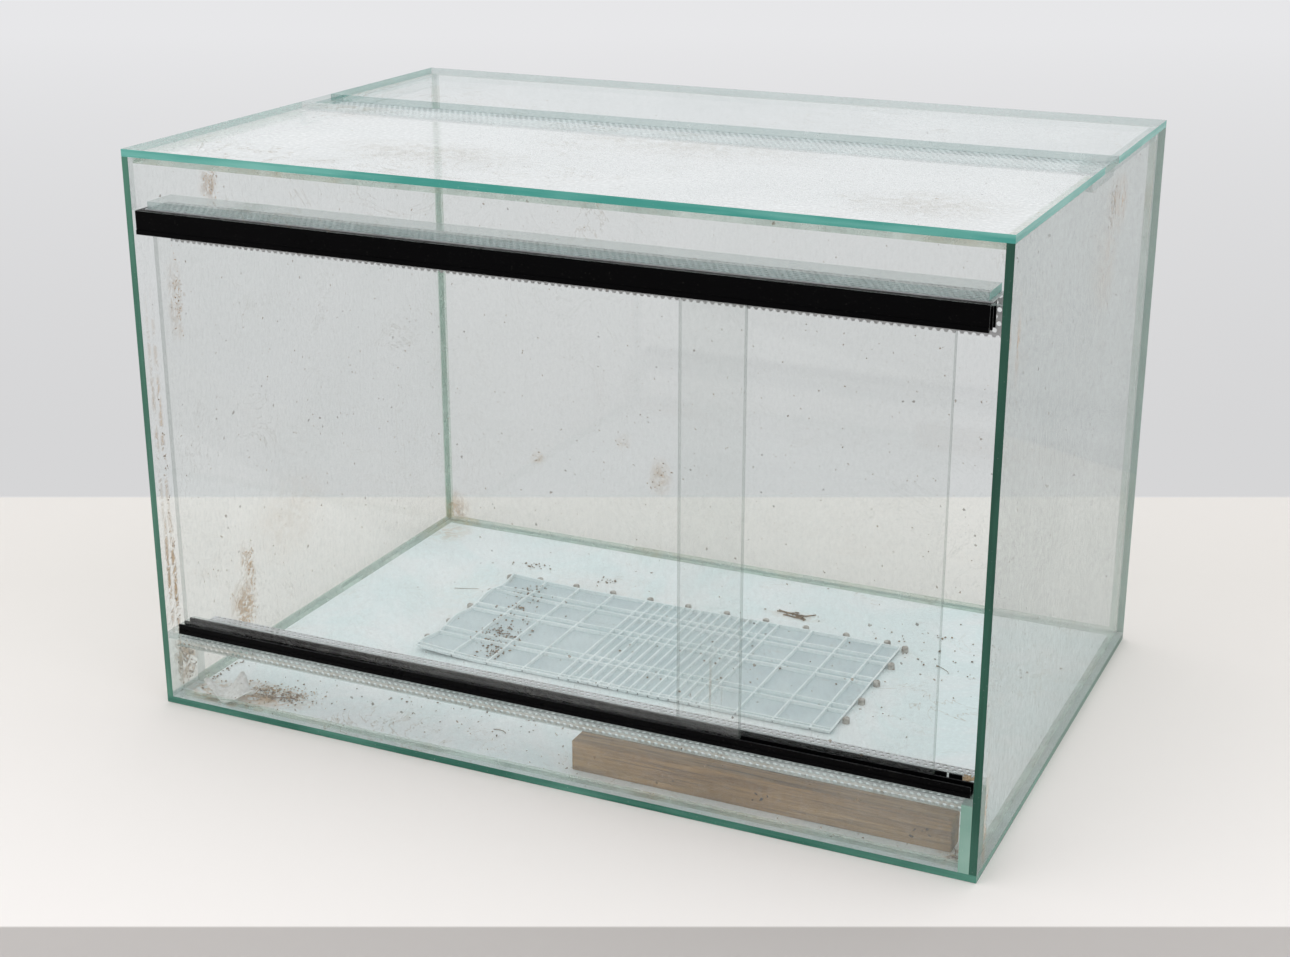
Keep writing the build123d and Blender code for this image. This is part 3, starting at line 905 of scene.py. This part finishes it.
def lay_pane_flecks():
    left_x, right_x = inner_left / MM, inner_right / MM
    back_y, front_y = inner_back / MM, inner_front / MM
    roof_under = boxes["roof_front_plate"][0].z / MM
    stains = Litter("left_stains", rust_stain, "tank", 21)
    for centre, reach, count in (((0, -106, 36), (0, 14, 26), 150), ((0, -98, 66), (0, 6, 22), 60),
                                 ((0, -113, 361), (0, 8, 18), 80), ((0, -159, 289), (0, 6, 34), 70)):
        stains.smear(0, left_x, 1, centre, reach, count, 0.3, 1.3)
    stains.lay()
    corner = Litter("left_corner_dirt", stuck_dirt, "tank", 22)
    corner.smear(0, left_x, 1, (0, -187, 110), (0, 3, 100), 110, 0.3, 1.3)
    corner.smear(0, left_x, 1, (0, -180, 28), (0, 11, 18), 110, 0.4, 1.8)
    corner.flecks(0, left_x, 1, (0, -170, 15), (0, 180, 370), 420, 0.2, 1.1)
    corner.lay()
    far = Litter("back_flecks", stuck_dirt, "tank", 23)
    far.flecks(1, back_y, -1, (-280, 0, 15), (280, 0, 370), 620, 0.18, 0.95)
    for centre in ((-91, 0, 68), (-206, 0, 75), (-124, 0, 101), (-90, 0, 84)):
        far.smear(1, back_y, -1, centre, (7, 0, 9), 10, 0.4, 1.5)
    far.lay()
    side = Litter("right_flecks", stuck_dirt, "tank", 24)
    side.flecks(0, right_x, -1, (0, -180, 12), (0, 185, 375), 850, 0.2, 1.0)
    side.smear(0, right_x, -1, (0, -181, 341), (0, 4, 26), 26, 0.5, 2.0)
    side.smear(0, right_x, -1, (0, -187, 34), (0, 4, 44), 40, 0.5, 1.8)
    side.smear(0, right_x, -1, (0, 68, 366), (0, 16, 20), 110, 0.4, 1.8)
    side.lay()
    low = Litter("lower_pane_flecks", stuck_dirt, "tank", 25)
    low.flecks(1, front_y, 1, (-282, 0, 8), (282, 0, 42), 190, 0.25, 1.1)
    low.lay()
    top = Litter("roof_flecks", stuck_dirt, "tank", 26)
    top.flecks(2, roof_under, -1, (-280, -180, 0), (280, 0, 0), 190, 0.25, 1.0)
    for centre, reach in (((-116, -120, 0), (70, 30, 0)), ((39, -35, 0), (90, 22, 0)),
                          ((235, -140, 0), (40, 30, 0))):
        top.smear(2, roof_under, -1, centre, reach, 90, 0.2, 1.0)
    top.lay()
    knots = Litter("batten_knots", dark_knot, "tank", 29)
    batten_front = boxes["wooden_batten"][0].y / MM
    for x, z, size in ((148, 17, 1.6), (152, 14, 1.9), (156, 17, 1.3), (146, 12, 1.2), (252, 11, 2.1),
                       (254, 16, 1.6), (264, 14, 1.8), (262, 18, 1.2), (90, 13, 1.0)):
        knots.fleck(1, batten_front, -1, (x, 0, z), size * MM)
    knots.lay()
    for name, seed in (("left_door", 27), ("right_door", 28)):
        low_corner, high_corner = (corner / MM for corner in boxes[name])
        door = Litter(name + "_flecks", stuck_dirt, name, seed)
        door.flecks(1, high_corner.y, 1, (low_corner.x + 6, 0, low_corner.z + 16),
                    (high_corner.x - 6, 0, high_corner.z - 16), 130, 0.18, 0.9)
        door.lay()


def curled_scrap():
    """A dry white scrap with three raised tips, lying in the front left corner."""
    vertices, faces = [], []
    long_steps, wide_steps = 18, 8
    for i in range(long_steps + 1):
        for j in range(wide_steps + 1):
            u, v = i / long_steps, j / wide_steps
            middle = math.exp(-((u - 0.55) / 0.16) ** 2)
            width = 3 + 11 * math.sin(math.pi * (0.04 + 0.92 * u)) + 7 * middle
            x = -276 + 42 * u + 3 * (v - 0.5)
            y = -184 + (v - 0.5) * width
            lift = 9 * abs(2 * u - 1) ** 2.4 + 15 * v ** 2 * middle + 1.2 * math.sin(9 * u + 4 * v) + 1.2
            vertices.append((x * MM, y * MM, floor_z + (0.5 + lift) * MM))
    row = wide_steps + 1
    for i in range(long_steps):
        for j in range(wide_steps):
            a = i * row + j
            faces.append((a, a + row, a + row + 1, a + 1))
    piece = thicken(mesh_object("curled_scrap", vertices, faces, smooth=True), 0.5 * MM)
    piece.data.materials.append(pale_scrap)
    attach(piece, "tank")


lay_floor_litter()
lay_pane_flecks()
curled_scrap()


# Studio and camera

CAMERA_PLACE = Vector((0.576, -1.272, 0.648))
CAMERA_AZIMUTH = math.radians(24.87)
CAMERA_ELEVATION = math.radians(19.6)
CAMERA_LENS = 57.3
SENSOR_WIDTH = 36

# The wall and the table's near edge are straight lines on the studio floor, in metres: the wall's is
# this far from the origin in a direction turned from +Y, and the table's edge this far before it.
TABLE_TURN = math.radians(24.87)
WALL_LINE = 0.373717
TABLE_DEPTH = 0.729
STAGE_DROP = 0.4 * MM
STAGE_REACH = 14


def stage_material():
    """Warm white near the tank, darker from the table's front edge back towards the wall as painted shade;
    painted shade in front of that edge; cool light grey beyond a line behind the tank, darker near that line
    as painted shade at the foot of the wall.
    """
    s = Shader("studio_floor")
    along_x = s.times(s.axis("X"), -math.sin(TABLE_TURN))
    along_y = s.times(s.axis("Y"), math.cos(TABLE_TURN))
    reach = s.math("SUBTRACT", s.math("ADD", along_x, along_y), WALL_LINE)
    far = s.spread(reach, -0.002, 0.004)
    near = s.spread(reach, -TABLE_DEPTH - 0.001, -TABLE_DEPTH + 0.001, 1, 0)
    # Painted shade: the table's colour darkens from its front edge back towards the wall.
    table = s.colour(s.spread(reach, -0.72, -0.2), (0.905, 0.865, 0.835), (0.80, 0.765, 0.725))
    # Painted shade: the whole floor in front of the table's front edge is dark.
    table = s.colour(near, table, (0.52, 0.49, 0.47))
    # Painted shade: the wall's glow is darker near its foot and lighter further up.
    wall = s.colour(s.spread(reach, 0.2, 3.2), (0.672, 0.672, 0.680), (0.80, 0.80, 0.815))
    lit = s.node("ShaderNodeEmission")
    s.feed(lit.inputs["Color"], wall)
    path = s.node("ShaderNodeLightPath")
    seen = s.most(s.most(path.outputs["Is Camera Ray"], path.outputs["Is Glossy Ray"]),
                  path.outputs["Is Transmission Ray"])
    matt = s.principled(s.colour(far, table, wall), 0.8, Specular_IOR_Level=0.2)
    return s.done(s.blend(s.times(seen, far), matt, lit.outputs["Emission"]))


def studio():
    """The floor, the room's light and two soft lamps."""
    corners = [(x * STAGE_REACH, y * STAGE_REACH, -STAGE_DROP)
               for x, y in ((-1, -1), (1, -1), (1, 1), (-1, 1))]
    floor = mesh_object("studio_floor", corners, [(0, 1, 2, 3)])
    floor.data.materials.append(stage_material())
    world = bpy.data.worlds.new("soft_room")
    bpy.context.scene.world = world
    world.use_nodes = True
    background = world.node_tree.nodes["Background"]
    background.inputs["Color"].default_value = (0.97, 0.98, 1.0, 1)
    background.inputs["Strength"].default_value = 0.92
    for name, place, size, power, colour in (
            ("softbox_top", (0.1, -0.2, 2.6), 2.8, 15, (1.0, 0.985, 0.96)),
            ("softbox_front", (-1.2, -2.2, 1.8), 2.0, 6, (0.97, 0.985, 1.0))):
        lamp = bpy.data.lights.new(name, "AREA")
        lamp.size = size
        lamp.energy = power
        lamp.color = colour
        lamp_object = bpy.data.objects.new(name, lamp)
        bpy.context.scene.collection.objects.link(lamp_object)
        lamp_object.location = place
        aim = Vector((0, 0, 0.15)) - Vector(place)
        lamp_object.rotation_euler = aim.to_track_quat("-Z", "Y").to_euler()


def camera():
    data = bpy.data.cameras.new("camera")
    data.lens = CAMERA_LENS
    data.sensor_width = SENSOR_WIDTH
    made = bpy.data.objects.new("camera", data)
    bpy.context.scene.collection.objects.link(made)
    made.location = CAMERA_PLACE
    made.rotation_euler = (math.pi / 2 - CAMERA_ELEVATION, 0, CAMERA_AZIMUTH)
    bpy.context.scene.camera = made


camera()
studio()
scene = bpy.context.scene
scene.view_settings.view_transform = "Standard"

# Enough for a ray that passes through all the panes, beads and stains in its way.
scene.cycles.transparent_max_bounces = 40
